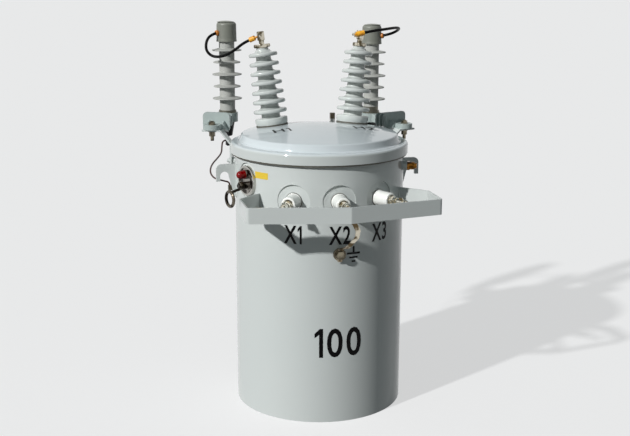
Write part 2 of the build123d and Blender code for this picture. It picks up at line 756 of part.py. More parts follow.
def strap_solid(sign, drop):
    """Flat steel strap: foot on a welded boss, upright, sloping out, then level under the tongue."""
    angle = sign * strap_angle
    tab_top = tongue_bottom - drop
    outer = strap_inner_radius + strap_thickness
    slope = math.atan2(tab_top - strap_bend_height, strap_top_radius - strap_inner_radius)
    shift = strap_thickness * math.tan((math.pi / 2 - slope) / 2)
    knee = strap_thickness * math.tan(slope / 2)
    outline = Polyline(
        (strap_inner_radius, strap_foot_bottom), (outer, strap_foot_bottom),
        (outer, strap_bend_height - shift), (strap_top_radius + knee, tab_top - strap_thickness),
        (strap_end_radius, tab_top - strap_thickness), (strap_end_radius, tab_top),
        (strap_top_radius, tab_top), (strap_inner_radius, strap_bend_height), close=True)
    profile = make_face(Plane.XZ * outline)
    strap = extrude(profile, strap_width / 2, both=True)
    strap = strap - Pos(strap_bolt_reach, 0, tab_top - 2 * strap_thickness) * rod(
        tongue_hole_diameter, 0, 3 * strap_thickness)
    out = Plane(origin=(0, 0, strap_boss_height), x_dir=(0, 1, 0), z_dir=(1, 0, 0))
    boss = out.location * rod(strap_boss_diameter, tank_radius - 5, strap_inner_radius)
    boss = boss - rod(2 * (tank_radius + seat_clearance), 0, tank_rim_height)
    bolt = out.location * (rod(strap_foot_bolt_diameter, outer, outer + strap_foot_bolt_length)
                           + hexagon(strap_foot_bolt_head, outer, outer + strap_foot_bolt_head_thickness))
    return Rot(0, 0, angle - 90) * (strap + boss + bolt)


def strap_bolt_solid():
    """Bolt through the tongue and the strap, with washers and nuts."""
    top = tongue_thickness
    bottom = -strap_thickness
    washer = strap_bolt_washer_thickness
    head = strap_bolt_head_thickness
    part = rod(strap_bolt_diameter, bottom - strap_bolt_tail, top + washer + head + 3)
    part = part + rod(strap_bolt_washer_diameter, top, top + washer)
    part = part + hexagon(strap_bolt_head, top + washer, top + washer + head)
    part = part + rod(strap_bolt_washer_diameter, bottom - washer, bottom)
    part = part + hexagon(strap_bolt_head, bottom - washer - strap_bolt_nut_thickness, bottom - washer)
    return part


def wire_solids():
    """Ground wire and the clamp that holds it to the left lifting lug."""
    save("ground_wire", cord_tube("ground_wire", over_rim(ground_wire_points), ground_wire_diameter))
    low, high = over_rim([wire_clamp_low, wire_clamp_high])
    body = block((low.X, low.Y, low.Z), (high.X, high.Y, high.Z))
    body = fillet(body.edges().filter_by(Axis.X), wire_clamp_edge)
    middle = (low + high) / 2
    place = Plane(origin=(middle.X, high.Y, middle.Z), z_dir=(0, 1, 0))
    screw = hexagon(wire_clamp_screw_head, 0, wire_clamp_screw_length)
    save("ground_wire_clamp", body + place.location * screw)


def lv_solids():
    """Low-voltage bushings with clamp terminals, and the guard bar in front of them."""
    for number, angle in enumerate(lv_angles, start=1):
        place = wall_plane(angle, lv_disc_face, lv_height)
        shank = rod(lv_shank_diameter, -lv_shank_length, 0)
        flange = rod(lv_flange_diameter, 0, lv_flange_thickness)
        flange = fillet(flange.edges().group_by(Axis.Z)[-1], lv_flange_edge)
        mouth = lv_flange_thickness + lv_porcelain_length
        body = cone(lv_porcelain_base_diameter, lv_porcelain_tip_diameter, lv_flange_thickness, mouth)
        body = fillet(body.edges().group_by(Axis.Z)[-1], lv_porcelain_edge)
        body = body - rod(lv_mouth_diameter, mouth - lv_mouth_depth, mouth + 1)
        save("lv_bushing_%d" % number, place.location * (shank + flange + body))

        floor = -lv_mouth_depth
        collar = hexagon(lv_collar_width, floor, lv_collar_end)
        sleeve = rod(lv_sleeve_diameter, lv_collar_end, lv_sleeve_end)
        stud = rod(lv_stud_diameter, lv_sleeve_end, lv_stud_end)
        barrel = rod(lv_barrel_diameter, lv_barrel_start, lv_barrel_start + lv_barrel_length)
        nut = hexagon(lv_nut_width, lv_nut_start, lv_nut_start + lv_nut_thickness)
        across = Plane(origin=(0, 0, lv_barrel_start + lv_barrel_length / 2), x_dir=(0, 0, 1),
                       z_dir=(0, 1, 0))
        screw = rod(lv_screw_diameter, -lv_screw_reach, lv_screw_reach - lv_screw_head_thickness)
        head_start = lv_screw_reach - 2 * lv_screw_head_thickness
        head = hexagon(lv_screw_head, head_start, head_start + lv_screw_head_thickness)
        foot = hexagon(lv_screw_head, -lv_screw_reach, lv_screw_head_thickness - lv_screw_reach)
        terminal = collar + sleeve + stud + barrel + nut + across.location * (screw + head + foot)
        save("lv_terminal_%d" % number, place.location * Pos(0, 0, mouth) * terminal)

    half_bar = guard_bar_thickness / 2
    start_y = guard_corner_y + (guard_corner_x - guard_weld_x)
    right = [(0, guard_nose_y), (guard_corner_x, guard_front_y), (guard_corner_x, guard_corner_y),
             (guard_weld_x, start_y)]
    left = [(-x, y) for x, y in right[:0:-1]]
    path = FilletPolyline(*(left + right), radius=guard_bend_radius)
    bar = offset(path, half_bar, side=Side.BOTH, kind=Kind.ARC)
    bar_face = make_face(bar.edges()) if not isinstance(bar, Face) else bar
    guard = Pos(0, 0, guard_bottom) * extrude(bar_face, guard_bar_height)
    tank_space = rod(2 * (tank_radius + seat_clearance), 0, tank_rim_height)
    save("lv_guard", guard - tank_space)


def ground_solids():
    """Ground bolt on its pad, and the flat strap down to it from the middle terminal."""
    place = wall_plane(0, 0, ground_bolt_height)
    pad = rod(ground_pad_diameter, tank_radius - 2, ground_pad_face)
    pad = place.location * pad - rod(2 * (tank_radius + seat_clearance), 0, tank_rim_height)
    washer_start = ground_pad_face + ground_strap_thickness + 2 * seat_clearance
    washer = rod(ground_bolt_washer_diameter, washer_start, washer_start + ground_bolt_washer_thickness)
    head_start = washer_start + ground_bolt_washer_thickness
    head = hexagon(ground_bolt_hex, head_start, head_start + ground_bolt_hex_thickness)
    stem = rod(ground_bolt_diameter, ground_pad_face - 1, head_start)
    save("ground_bolt", pad + place.location * (washer + head + stem))

    # The strap is where its front view and its side view meet.
    clamp_under = lv_height - lv_barrel_diameter / 2 - seat_clearance - ground_strap_thickness / 2
    terminal_y = -(lv_disc_face + lv_flange_thickness + lv_porcelain_length + lv_barrel_start
                   + lv_barrel_length / 2)
    pad_y = -(ground_pad_face + seat_clearance + ground_strap_thickness / 2)
    bottom = ground_bolt_height - ground_strap_tail
    rise = lv_height - ground_bolt_height
    front_run = [(x, ground_bolt_height + share * rise) for x, share in ground_strap_front]
    side_run = [(y, ground_bolt_height + share * rise) for y, share in ground_strap_side]
    front_points = [(0, clamp_under + ground_strap_width)] + front_run + [(0, bottom)]
    side_points = ([(terminal_y + ground_strap_width * 0.7, clamp_under),
                    (terminal_y - ground_strap_width * 0.8, clamp_under)]
                   + side_run + [(pad_y, ground_bolt_height + ground_strap_tail), (pad_y, bottom)])
    front = Plane.XZ * offset(FilletPolyline(*front_points, radius=ground_strap_bend_radius),
                              ground_strap_width / 2, side=Side.BOTH, kind=Kind.ARC)
    flank = Plane.YZ * offset(FilletPolyline(*side_points, radius=ground_strap_bend_radius),
                              ground_strap_thickness / 2, side=Side.BOTH, kind=Kind.ARC)
    across_front = extrude(make_face(front.edges()), 2 * tank_radius, both=True)
    across_side = extrude(make_face(flank.edges()), tank_radius, both=True)
    strap = across_front & across_side
    hole = ground_bolt_diameter + 2 * seat_clearance
    strap = strap - place.location * rod(hole, tank_radius, 2 * tank_radius)
    screw_hole = lv_screw_diameter + 2 * seat_clearance
    strap = strap - Pos(0, terminal_y, clamp_under - ground_strap_width / 2) * rod(
        screw_hole, 0, ground_strap_width)
    save("ground_strap", strap)


def lug_solids():
    """Lifting lugs: plates with a hook that opens downwards."""
    inner = tank_radius + seat_clearance
    arch_centre_r = lug_reach - lug_finger_width - lug_arch_radius
    arch_centre_z = lug_arch_top - lug_arch_radius
    leg_r = arch_centre_r - lug_arch_radius
    edges = [
        Line((tank_radius - 2, lug_leg_bottom), (tank_radius - 2, lug_top)),
        Line((tank_radius - 2, lug_top), (lug_reach, lug_top)),
        Line((lug_reach, lug_top), (lug_reach, lug_finger_tip)),
        Line((lug_reach, lug_finger_tip), (lug_reach - lug_finger_width, lug_finger_tip)),
        Line((lug_reach - lug_finger_width, lug_finger_tip), (lug_reach - lug_finger_width, arch_centre_z)),
        ThreePointArc((lug_reach - lug_finger_width, arch_centre_z), (arch_centre_r, lug_arch_top),
                      (leg_r, arch_centre_z)),
        Line((leg_r, arch_centre_z), (lug_leg_reach, lug_leg_bottom)),
        Line((lug_leg_reach, lug_leg_bottom), (tank_radius - 2, lug_leg_bottom)),
    ]
    plate = extrude(make_face(Plane.XZ * Curve(edges)), lug_thickness / 2, both=True)
    corner = plate.edges().filter_by(Axis.Y).sort_by(lambda e: e.center().X + e.center().Z)[-1]
    plate = fillet(corner, lug_corner_radius)
    plate = plate - rod(2 * inner, 0, tank_rim_height)
    save("lifting_lug_right", plate)
    save("lifting_lug_left", Rot(0, 0, 180) * plate)


def valve_solid():
    """Pressure relief valve screwed into a coupling on the tank."""
    place = wall_plane(valve_angle, 0, valve_height)
    coupling = place.location * rod(valve_coupling_diameter, tank_radius - 3, valve_coupling_end)
    coupling = coupling - rod(2 * (tank_radius + seat_clearance), 0, tank_rim_height)
    body = rod(valve_body_diameter, valve_coupling_end, valve_body_end)
    hexed = hexagon(valve_hex_width, valve_coupling_end, valve_coupling_end + valve_hex_length)
    cap = rod(valve_cap_diameter, valve_body_end, valve_cap_end)
    save("relief_valve_coupling", coupling)
    save("relief_valve", place.location * (body + hexed + cap))


def breaker_solids():
    """Breaker fitting: dished plate with a lamp, and a ring handle that turns on its shaft."""
    place = wall_plane(breaker_angle, breaker_disc_face, breaker_height)
    face = breaker_plate_thickness
    plate = rod(breaker_plate_diameter, 0, face)
    plate = fillet(plate.edges().group_by(Axis.Z)[-1], breaker_plate_edge)
    dish = rod(breaker_plate_diameter - 2 * breaker_plate_rim, face - breaker_plate_recess, face + 1)
    dish = dish - rod(breaker_hub_diameter, 0, face + 1)
    plate = plate - dish
    back = rod(breaker_hole_diameter - 1, -breaker_back_length, 0)
    shaft_plane = Pos(handle_offset[0], handle_offset[1], 0)
    shaft_end = face + handle_hub_gap + handle_hub_length + seat_clearance
    shaft = shaft_plane * rod(handle_shaft_diameter, face - 1, shaft_end)
    collar = shaft_plane * rod(handle_hub_diameter, face - 1, face + handle_hub_gap - seat_clearance)
    keeper = shaft_plane * rod(handle_cap_diameter, shaft_end, shaft_end + handle_cap_thickness)
    save("breaker_plate", place.location * (plate + back + shaft + collar + keeper))

    bezel = rod(lamp_bezel_diameter, face, face + lamp_bezel_thickness)
    lens_start = face + lamp_bezel_thickness
    straight = lens_start + lamp_lens_length - lamp_lens_diameter / 2
    lens = rod(lamp_lens_diameter, lens_start, straight)
    lens = lens + Pos(0, 0, straight) * Sphere(lamp_lens_diameter / 2)
    save("breaker_lamp", place.location * Pos(lamp_offset[0], lamp_offset[1], 0) * (bezel + lens))

    hub_start = face + handle_hub_gap
    hub_end = hub_start + handle_hub_length
    bore = handle_shaft_diameter + 2 * handle_running_clearance
    hub = rod(handle_hub_diameter, hub_start, hub_end)
    hub = fillet(hub.edges().filter_by(GeomType.CIRCLE), 2)
    wire = handle_wire_diameter
    out_end = hub_end + handle_ring_stand - handle_hub_length / 2
    middle = (hub_start + hub_end) / 2
    ring_top = -handle_ring_drop + handle_ring_radius
    arm_start = Vector(0, -handle_hub_diameter / 2 + 1, middle)
    arm_end = Vector(0, ring_top, out_end)
    arm = Plane(origin=arm_start, z_dir=arm_end - arm_start).location * rod(
        wire, 0, (arm_end - arm_start).length)
    knuckle = Pos(0, ring_top, out_end) * Sphere(wire / 2 * 1.15)
    ring = Pos(0, -handle_ring_drop, out_end) * Torus(handle_ring_radius, wire / 2)
    handle = hub + arm + knuckle + ring
    handle = handle - rod(bore, 0, hub_end + 5)
    leaned = shaft_plane * Rot(0, 0, handle_lean) * handle
    save("breaker_handle", place.location * leaned)


def hanger_solids():
    """Two welded brackets with upright slots for the through bolts of a pole."""
    for name, height in (("lower", hanger_lower_height), ("upper", hanger_lower_height + hanger_spacing)):
        back = hanger_face_y - hanger_plate_thickness
        plate = block((-hanger_plate_width / 2, back, height - hanger_plate_height / 2),
                      (hanger_plate_width / 2, hanger_face_y, height + hanger_plate_height / 2))
        plate = fillet(plate.edges().filter_by(Axis.Y), 10)
        slot = Plane.XZ * Rot(0, 0, 90) * SlotOverall(hanger_slot_length, hanger_slot_width)
        cut = Pos(0, hanger_face_y + 1, height) * extrude(slot, hanger_plate_thickness + 2)
        plate = plate - cut
        part = plate
        for sign in (-1, 1):
            x = sign * hanger_web_spacing / 2
            web = block((x - hanger_plate_thickness / 2, tank_radius * 0.9, height - hanger_plate_height / 2 + 8),
                        (x + hanger_plate_thickness / 2, back + 1, height + hanger_plate_height / 2 - 8))
            part = part + web
        part = part - rod(2 * (tank_radius + seat_clearance), 0, tank_rim_height)
        save("pole_hanger_" + name, part)


tank_solids()
lid_solids()
hv_solids()
lead_solids()
arrester_solids()
wire_solids()
lv_solids()
ground_solids()
lug_solids()
valve_solid()
breaker_solids()
hanger_solids()
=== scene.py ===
import bmesh
import bpy
import math
from mathutils import Matrix, Vector


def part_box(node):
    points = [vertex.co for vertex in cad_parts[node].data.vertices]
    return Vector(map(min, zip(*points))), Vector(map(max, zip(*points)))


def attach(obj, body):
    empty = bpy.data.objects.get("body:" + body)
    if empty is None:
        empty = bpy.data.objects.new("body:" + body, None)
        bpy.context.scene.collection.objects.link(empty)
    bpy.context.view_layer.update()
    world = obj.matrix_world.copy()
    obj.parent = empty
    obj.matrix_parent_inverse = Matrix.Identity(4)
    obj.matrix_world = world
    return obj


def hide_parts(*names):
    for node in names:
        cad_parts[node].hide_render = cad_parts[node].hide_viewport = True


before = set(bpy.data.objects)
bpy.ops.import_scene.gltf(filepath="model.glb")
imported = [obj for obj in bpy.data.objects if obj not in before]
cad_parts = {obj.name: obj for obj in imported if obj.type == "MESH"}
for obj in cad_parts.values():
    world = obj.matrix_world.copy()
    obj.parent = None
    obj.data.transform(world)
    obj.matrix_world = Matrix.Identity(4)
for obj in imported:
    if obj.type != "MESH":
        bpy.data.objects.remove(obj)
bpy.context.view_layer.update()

# Camera
# It stands to the left of the tank's front, at about eye height, and looks a little down.
camera_place = Vector((-0.882, -3.732, 1.568))
camera_heading = math.radians(13.08)
camera_pitch = math.radians(13.155)
camera_roll = 0.0034
camera_lens = 61.2

camera_data = bpy.data.cameras.new("camera")
camera_data.sensor_width = 36.0
camera_data.lens = camera_lens
camera = bpy.data.objects.new("camera", camera_data)
camera.matrix_world = (
    Matrix.Translation(camera_place)
    @ Matrix.Rotation(-camera_heading, 4, "Z")
    @ Matrix.Rotation(math.pi / 2 - camera_pitch, 4, "X")
    @ Matrix.Rotation(camera_roll, 4, "Z")
)
bpy.context.scene.collection.objects.link(camera)
bpy.context.scene.camera = camera


# Leads and ground wire
# Two black rubber covered leads run from the arresters to the bushings, and a thin brown wire runs
# from the left arrester's foot along the strap to a clamp on the lifting lug. Cut to length, bent by hand.
class Signal:
    """An output of a material's nodes. Sums written on it become Math nodes."""

    def __init__(self, tree, output=None):
        self.tree = tree
        self.output = output

    def node(self, kind, settings, inputs, output=0):
        """Adds a node: its settings first, then the values or links of its sockets."""
        new = self.tree.nodes.new(kind)
        for name, value in settings.items():
            setattr(new, name, value)
        for socket, value in inputs.items():
            if isinstance(value, Signal):
                self.tree.links.new(value.output, new.inputs[socket])
            else:
                new.inputs[socket].default_value = value
        return Signal(self.tree, new.outputs[output])

    def maths(self, operation, first, second):
        """A sum of two numbers or outputs."""
        return self.node("ShaderNodeMath", {"operation": operation}, {0: first, 1: second})

    def __add__(self, other):
        return self.maths("ADD", self, other)

    def __radd__(self, other):
        return self.maths("ADD", other, self)

    def __sub__(self, other):
        return self.maths("SUBTRACT", self, other)

    def __rsub__(self, other):
        return self.maths("SUBTRACT", other, self)

    def __mul__(self, other):
        return self.maths("MULTIPLY", self, other)

    def __rmul__(self, other):
        return self.maths("MULTIPLY", other, self)

    def above(self, low, high):
        """0 below the low value, 1 above the high one, smooth between."""
        return self.node(
            "ShaderNodeMapRange", {"interpolation_type": "SMOOTHSTEP"},
            {0: self, 1: low, 2: high, 3: 0.0, 4: 1.0},
        )

    def along(self, direction):
        """How far a place lies along a direction."""
        return self.node(
            "ShaderNodeVectorMath", {"operation": "DOT_PRODUCT"}, {0: self, 1: direction}, "Value",
        )

    def from_point(self, point):
        """How far a place lies from a point."""
        return self.node(
            "ShaderNodeVectorMath", {"operation": "DISTANCE"}, {0: self, 1: point}, "Value",
        )


class Finish:
    """A material with its surface shader, and the patterns that its colour and relief are mixed from."""

    def __init__(self, name, colour, roughness, metallic=0.0, coat=0.0):
        self.material = bpy.data.materials.new(name)
        self.material.use_nodes = True
        self.tree = self.material.node_tree
        self.shader = self.tree.nodes["Principled BSDF"]
        self.start = Signal(self.tree)
        self.colour = linear(colour)
        self.set("Base Color", self.colour)
        self.set("Roughness", roughness)
        self.set("Metallic", metallic)
        self.set("Coat Weight", coat)
        self.place = self.start.node("ShaderNodeTexCoord", {}, {}, "Object")

    def set(self, socket, value):
        """Gives one of the surface shader's sockets a value or an output."""
        if isinstance(value, Signal):
            self.tree.links.new(value.output, self.shader.inputs[socket])
        else:
            self.shader.inputs[socket].default_value = value

    def height(self):
        """The height above the ground, in metres."""
        return self.start.node("ShaderNodeSeparateXYZ", {}, {"Vector": self.place}, "Z")

    def noise(self, scale, detail=2.0, place=None, roughness=0.5):
        """A cloudy pattern from 0 to 1, with about scale patches to the metre."""
        return self.start.node(
            "ShaderNodeTexNoise", {},
            {"Vector": place or self.place, "Scale": scale, "Detail": detail, "Roughness": roughness},
        )

    def stretched(self, x, y, z):
        """The place on the object with each axis stretched by its own factor."""
        return self.start.node(
            "ShaderNodeMapping", {}, {"Vector": self.place, "Scale": (x, y, z)},
        )

    def mix(self, share, first, second):
        """A colour between two, by share."""
        return self.start.node(
            "ShaderNodeMix", {"data_type": "RGBA"}, {0: share, 6: first, 7: second}, 2,
        )

    def two_tone(self, share, first, second):
        """Mixes the finish's colour from two tones, by share."""
        self.set("Base Color", self.mix(share, linear(first), linear(second)))

    def stain(self, share, colour):
        """Covers the finish's colour with another, by share."""
        self.set("Base Color", self.mix(share, self.colour, linear(colour)))

    def relief(self, height, depth, strength, under=None):
        """Bumps the surface by a pattern from 0 to 1, which is depth metres high."""
        inputs = {"Height": height, "Distance": depth, "Strength": strength}
        if under:
            inputs["Normal"] = under
        bumped = self.start.node("ShaderNodeBump", {}, inputs)
        self.set("Normal", bumped)
        return bumped


def linear(colour):
    """The shader's colour for a colour given as it looks on a screen, from 0 to 255."""
    return tuple((c / 255) ** 2.2 for c in colour) + (1.0,)


def dress(finish, *nodes):
    """Gives solids of the frame a finish."""
    for node in nodes:
        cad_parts[node].material_slots[0].material = finish.material


def add_piece(name, mesh, finish, body="transformer"):
    """Makes a piece of the object from a mesh that is already in its place."""
    piece = bpy.data.objects.new(name, mesh)
    bpy.context.scene.collection.objects.link(piece)
    mesh.materials.clear()
    mesh.materials.append(finish.material)
    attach(piece, body)
    return piece


def cord_piece(name, points, diameter, finish):
    """A cord along a smooth curve that the points of its route steer."""
    curve = bpy.data.curves.new(name, "CURVE")
    curve.dimensions = "3D"
    curve.bevel_depth = diameter / 2
    curve.bevel_resolution = 5
    curve.resolution_u = 16
    curve.use_fill_caps = True
    spline = curve.splines.new("NURBS")
    spline.points.add(len(points) - 1)
    for knot, point in zip(spline.points, points):
        knot.co = (*point, 1.0)
    spline.order_u = 3
    spline.use_endpoint_u = True
    return add_piece(name, curve, finish)


black_specular = 0.08
grain_depth = 0.0003

lead_rubber = Finish("lead_rubber", (6, 6, 7), roughness=0.34)
lead_rubber.set("Specular IOR Level", black_specular)
lead_scuff = lead_rubber.noise(90.0, detail=4.0).above(0.58, 0.78)
lead_rubber.set("Roughness", 0.38 + lead_scuff * 0.25)
lead_rubber.stain(lead_scuff * 0.35, (46, 46, 47))
lead_rubber.relief(lead_rubber.noise(1400.0, detail=3.0), grain_depth, strength=0.35)

wire_brown = Finish("wire_insulation", (62, 33, 27), roughness=0.38)
wire_brown.set("Roughness", 0.32 + wire_brown.noise(160.0, detail=3.0) * 0.2)

lead_diameter = 0.0105
left_lead_points = [
    (-0.326, 0.307, 1.328), (-0.347, 0.298, 1.323), (-0.366, 0.2895, 1.301),
    (-0.369, 0.281, 1.266), (-0.346, 0.266, 1.243), (-0.307, 0.238, 1.247),
    (-0.270, 0.200, 1.274), (-0.246, 0.1695, 1.300), (-0.224, 0.1575, 1.311),
]
left_lead = cord_piece("left_lead", left_lead_points, lead_diameter, lead_rubber)
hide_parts("hv_lead_left")

right_lead_points = [
    (0.196, 0.1145, 1.336), (0.2315, 0.110, 1.343), (0.279, 0.125, 1.347),
    (0.320, 0.155, 1.350), (0.351, 0.193, 1.348), (0.366, 0.232, 1.341),
    (0.364, 0.266, 1.330), (0.347, 0.288, 1.319), (0.324, 0.302, 1.313),
]
right_lead = cord_piece("right_lead", right_lead_points, lead_diameter, lead_rubber)
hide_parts("hv_lead_right")

wire_diameter = 0.006
ground_wire_points = [
    (-0.2887, 0.3208, 0.9215), (-0.308, 0.306, 0.922), (-0.315, 0.281, 0.905),
    (-0.3205, 0.250, 0.885), (-0.341, 0.208, 0.873), (-0.366, 0.166, 0.861),
    (-0.381, 0.124, 0.850), (-0.386, 0.086, 0.838), (-0.380, 0.053, 0.829),
    (-0.368, 0.025, 0.826), (-0.356, 0.012, 0.8255), (-0.344, 0.011, 0.822),
    (-0.329, 0.011, 0.8182), (-0.327, 0.011, 0.8082),
]
ground_wire = cord_piece(
    "ground_wire_run", ground_wire_points, wire_diameter, wire_brown)
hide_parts("ground_wire")

# Tank and lid
# A rolled steel shell with flat discs pressed into it, and a dished steel lid turned down over a rubber
# gasket and clamped. All is sprayed with light grey enamel with a fine orange peel, glossiest on the lid.
tank_radius = 0.305
rim_height = 0.948
sides = (("left", -1), ("right", 1))
cloud_scale = 2.2
cloud_detail = 3.0
peel_scale = 150.0
peel_depth = 0.0006
peel_strength = 0.10
dust_scale = 55.0
dust_grey = (184, 186, 180)
dust_cover = 0.22
finish_edge = 0.001


def enamel(name, deep=(196, 202, 200), pale=(204, 208, 205), shine=0.32, polish=0.10):
    """The grey enamel, a little cloudy and dusty, with the orange peel of a spray gun."""
    coat = Finish(name, pale, 0.14)
    cloud = coat.noise(cloud_scale, cloud_detail)
    tone = coat.mix(cloud, linear(deep), linear(pale))
    dust = coat.noise(dust_scale, detail=5.0, roughness=0.65).above(0.62, 0.82)
    coat.tone = coat.mix(dust * dust_cover, tone, linear(dust_grey))
    coat.gloss = polish + cloud * 0.06 + dust * 0.14
    coat.set("Base Color", coat.tone)
    coat.set("Roughness", coat.gloss)
    coat.set("Specular IOR Level", shine)
    coat.peel = coat.relief(coat.noise(peel_scale), peel_depth, peel_strength)
    return coat


paint = enamel("tank_paint")
dress(paint, "tank_wall", "tank_bottom", "lv_guard", "arrester_strap_left",
      "arrester_strap_right", "lifting_lug_left", "lifting_lug_right", "relief_valve_coupling",
      "pole_hanger_lower", "pole_hanger_upper")

lid_ledge_foot = 0.9540
lid_ledge_top = 0.9610
lid_paint = enamel("lid_paint", deep=(191, 197, 195), pale=(199, 204, 201), shine=0.50, polish=0.05)
# Above the ledge the lid's colour turns bluer and lighter: a painted reflection of the sky on its upward
# facing top.
lid_top_reflection_share = lid_paint.height().above(lid_ledge_foot, lid_ledge_top)
lid_cloud = lid_paint.noise(cloud_scale, cloud_detail)
lid_painted_sky_reflection = lid_paint.mix(lid_cloud, linear((197, 205, 208)), linear((203, 210, 212)))
lid_paint.set("Base Color", lid_paint.mix(lid_top_reflection_share, lid_paint.tone, lid_painted_sky_reflection))
dress(lid_paint, "lid")

clamp_sleeve_foot = 0.966
clamp_nut_foot = 0.994
clamp_finish = enamel("clamp_paint")
clamp_bare = clamp_finish.height().above(clamp_sleeve_foot, clamp_sleeve_foot + finish_edge)
clamp_nut = clamp_finish.height().above(clamp_nut_foot, clamp_nut_foot + finish_edge)
clamp_stain = clamp_finish.noise(90.0, detail=4.0)
clamp_zinc = clamp_finish.mix(clamp_stain, linear((178, 178, 174)), linear((226, 226, 222)))
clamp_metal = clamp_finish.mix(clamp_nut, clamp_zinc, linear((104, 96, 82)))
clamp_finish.set("Base Color", clamp_finish.mix(clamp_bare, clamp_finish.tone, clamp_metal))
clamp_finish.set("Metallic", clamp_bare)
clamp_finish.set("Roughness", clamp_finish.gloss + clamp_bare * 0.16)
dress(clamp_finish, "lid_clamp_bolt")

weld_radius = 0.0034
weld_sink = 0.0022
weld_inset = 0.002
weld_finish = enamel("weld_paint")
weld_finish.relief(weld_finish.noise(330.0, detail=1.0), depth=0.0016, strength=0.8,
                   under=weld_finish.peel)


def weld(name, points):
    """A run of weld under the paint, along straight stretches."""
    curve = bpy.data.curves.new(name, "CURVE")
    curve.dimensions = "3D"
    curve.bevel_depth = weld_radius
    curve.bevel_resolution = 3
    curve.use_fill_caps = True
    line = curve.splines.new("POLY")
    line.points.add(len(points) - 1)
    for knot, point in zip(line.points, points):
        knot.co = (*point, 1.0)
    return add_piece(name, curve, weld_finish)


def on_wall(angle, height, lift=0.0):
    """A place on the tank's wall at that angle from the front, positive to the right."""
    turn = math.radians(angle)
    reach = tank_radius + lift
    return Vector((reach * math.sin(turn), -reach * math.cos(turn), height))


seam_angle = 152.0
seam_foot = 0.012
seam_top = rim_height - 0.045
weld("tank_seam", [on_wall(seam_angle, seam_foot, -weld_sink), on_wall(seam_angle, seam_top, -weld_sink)])

for side, sign in sides:
    low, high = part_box("lifting_lug_" + side)
    for face, y in (("front", low[1]), ("back", high[1])):
        x = sign * math.sqrt(tank_radius ** 2 - y ** 2)
        weld(f"lug_weld_{side}_{face}", [(x, y, low[2] + weld_inset), (x, y, high[2] - weld_inset)])

guard_half_width = 0.2525
guard_weld_turn = 0.5
guard_low, guard_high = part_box("lv_guard")
guard_weld_angle = math.degrees(math.asin(guard_half_width / tank_radius))
for side, sign in sides:
    angle = sign * (guard_weld_angle + guard_weld_turn)
    weld("guard_weld_" + side,
         [on_wall(angle, guard_low[2] + weld_inset), on_wall(angle, guard_high[2] - weld_inset)])

hanger_web_x = 0.052
hanger_web_half = 0.004
hanger_weld_inset = 0.010
hanger_web_faces = (("outer", hanger_web_x + hanger_web_half), ("inner", hanger_web_x - hanger_web_half))
for hanger in ("lower", "upper"):
    low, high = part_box("pole_hanger_" + hanger)
    foot = low[2] + hanger_weld_inset
    top = high[2] - hanger_weld_inset
    for side, sign in sides:
        for edge, x in hanger_web_faces:
            y = math.sqrt(tank_radius ** 2 - x ** 2)
            weld(f"hanger_weld_{hanger}_{side}_{edge}", [(sign * x, y, foot), (sign * x, y, top)])

gasket_rubber = Finish("gasket_rubber", (84, 82, 73), roughness=0.62)
gasket_rubber.relief(gasket_rubber.noise(700.0, detail=2.0), grain_depth, strength=0.4)
dress(gasket_rubber, "lid_gasket", "hv_gasket_left", "hv_gasket_right")

# Painted marks
# The terminal marks of every such unit, X1 to X3 under the low-voltage bushings, H1 and H2 on the lid
# and the sign for ground, with plain numerals lower down, brushed through stencils in black enamel.
# A bare yellow label is stuck on beside the breaker fitting.
mark_lift = 0.0004
mark_step = 0.004
above_lid = 1.2

mark_black = Finish("mark_black", (5, 5, 6), roughness=0.30)
mark_black.set("Roughness", 0.22 + mark_black.noise(60.0, detail=3.0) * 0.2)
mark_black.set("Specular IOR Level", black_specular)


def glyph_mesh(letter, weight):
    """One letter as a flat mesh, one unit tall. The 1 is a bar with a slanted flag."""
    if letter == "1":
        stem = 0.13 + weight * 2
        width = 0.34
        flag_tip = 0.83
        flag_root = 0.80
        outline = [(width - stem, 0.0), (width, 0.0), (width, 1.0), (width - stem * 0.8, 1.0),
                   (0.0, flag_tip), (0.0, flag_tip - stem), (width - stem, flag_root)]
        shape = bmesh.new()
        shape.faces.new([shape.verts.new((x, y, 0.0)) for x, y in outline])
        mesh = bpy.data.meshes.new("figure_one")
        shape.to_mesh(mesh)
        shape.free()
        return mesh
    curve = bpy.data.curves.new(letter, "FONT")
    curve.body = letter
    curve.offset = weight
    curve.resolution_u = 4
    drawn = bpy.data.objects.new(letter, curve)
    bpy.context.scene.collection.objects.link(drawn)
    bpy.context.view_layer.update()
    evaluated = drawn.evaluated_get(bpy.context.evaluated_depsgraph_get())
    mesh = bpy.data.meshes.new_from_object(evaluated)
    bpy.data.objects.remove(drawn)
    low = Vector((min(v.co.x for v in mesh.vertices), min(v.co.y for v in mesh.vertices), 0.0))
    high = max(v.co.y for v in mesh.vertices)
    mesh.transform(Matrix.Scale(1 / (high - low.y), 4) @ Matrix.Translation(-low))
    return mesh


def text_mesh(text, height, width_share, weight, gap):
    """Letters side by side as a flat mesh, centred on x, standing on y = 0, of that height."""
    shape = bmesh.new()
    reach = 0.0
    for letter in text:
        glyph = glyph_mesh(letter, weight)
        glyph.transform(Matrix.Diagonal((width_share, 1.0, 1.0, 1.0)))
        glyph.transform(Matrix.Translation((reach, 0.0, 0.0)))
        reach = max(v.co.x for v in glyph.vertices) + gap
        shape.from_mesh(glyph)
    middle = (reach - gap) / 2
    bmesh.ops.translate(shape, verts=shape.verts[:], vec=(-middle, 0.0, 0.0))
    bmesh.ops.scale(shape, verts=shape.verts[:], vec=(height, height, height))
    mesh = bpy.data.meshes.new(text)
    shape.to_mesh(mesh)
    shape.free()
    return mesh


